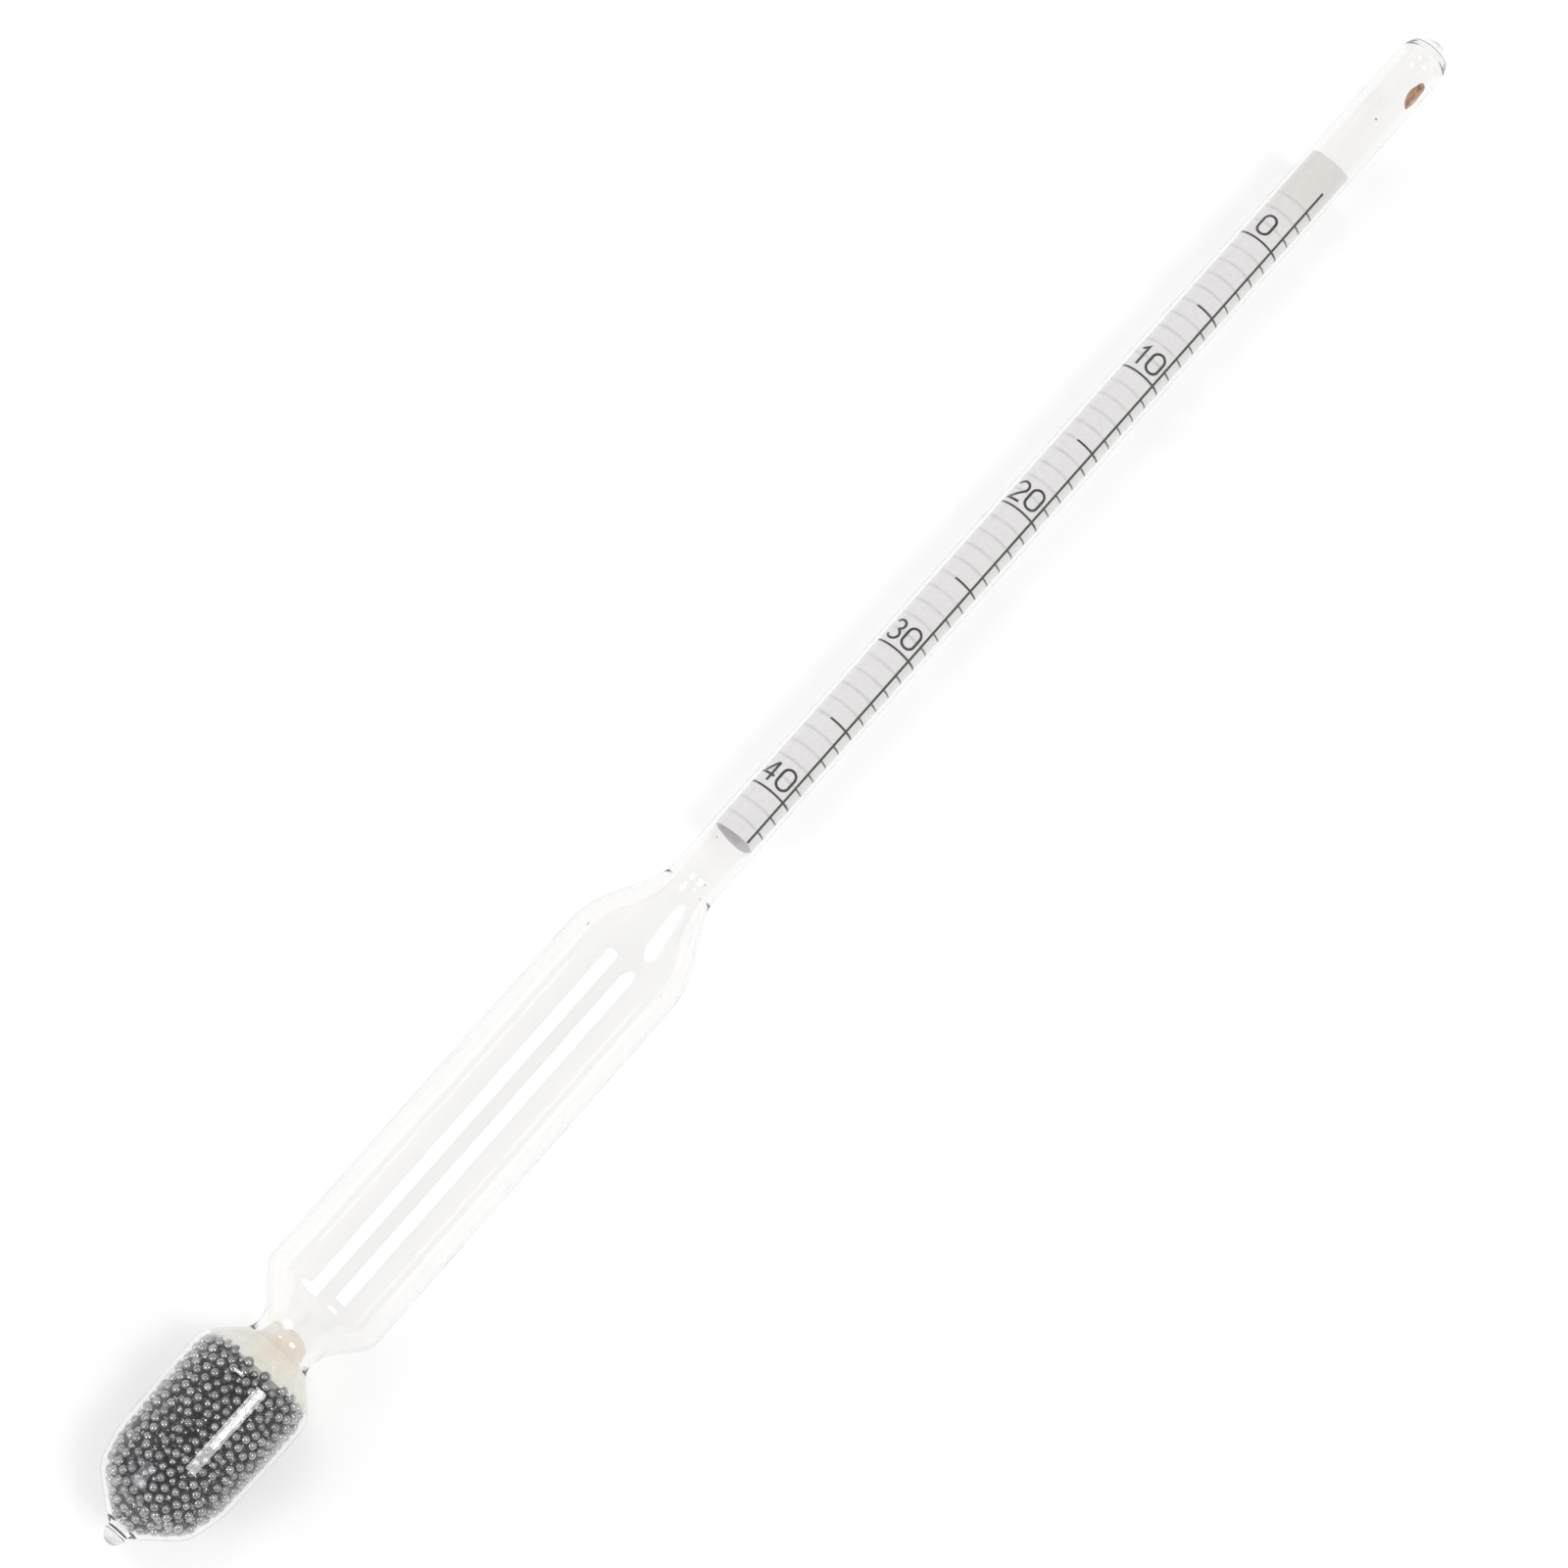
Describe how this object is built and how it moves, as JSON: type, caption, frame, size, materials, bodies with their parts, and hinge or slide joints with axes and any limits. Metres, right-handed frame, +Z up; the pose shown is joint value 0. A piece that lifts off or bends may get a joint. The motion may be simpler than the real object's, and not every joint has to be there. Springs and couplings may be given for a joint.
{
  "type": "hydrometer",
  "caption": "Glass floating hydrometer lying on its bulb: a long closed stem with a rolled paper scale inside, a wide float body, and a bulb of steel shot below a pinched neck.",
  "frame": {"origin": "on the surface it lies on, below the middle of its length and its long axis", "axes": "+X along the stem, from the weighted bulb to the closed stem end; +Z up, the way the printed scale faces"},
  "size_m": [0.3, 0.02, 0.0201],
  "materials": {
    "glass": "clear polished, slightly wavy",
    "paper": "matt",
    "ink": "matt black print",
    "dried_glue": "dried amber glue",
    "sealant": "translucent cream resin",
    "wax_plug": "peach wax",
    "steel_shot": "dark bright steel"
  },
  "bodies": {
    "root": {"stem_tube": "glass", "float_body": "glass", "ballast_bulb": "glass", "tip_seal": "glass", "scale_paper": "paper", "scale_line": "ink", "unit_ticks": "ink", "five_ticks": "ink", "ten_rings": "ink", "numeral_0": "ink", "numeral_10": "ink", "numeral_20": "ink", "numeral_30": "ink", "numeral_40": "ink", "adhesive_dab": "dried_glue", "bulb_sealant": "sealant", "neck_plug": "wax_plug", "shot_band_1": "steel_shot", "shot_band_2": "steel_shot", "shot_band_3": "steel_shot", "shot_band_4": "steel_shot", "shot_band_5": "steel_shot", "shot_band_6": "steel_shot", "shot_band_7": "steel_shot", "shot_band_8": "steel_shot", "shot_band_9": "steel_shot", "shot_band_10": "steel_shot"}
  },
  "joints": []
}
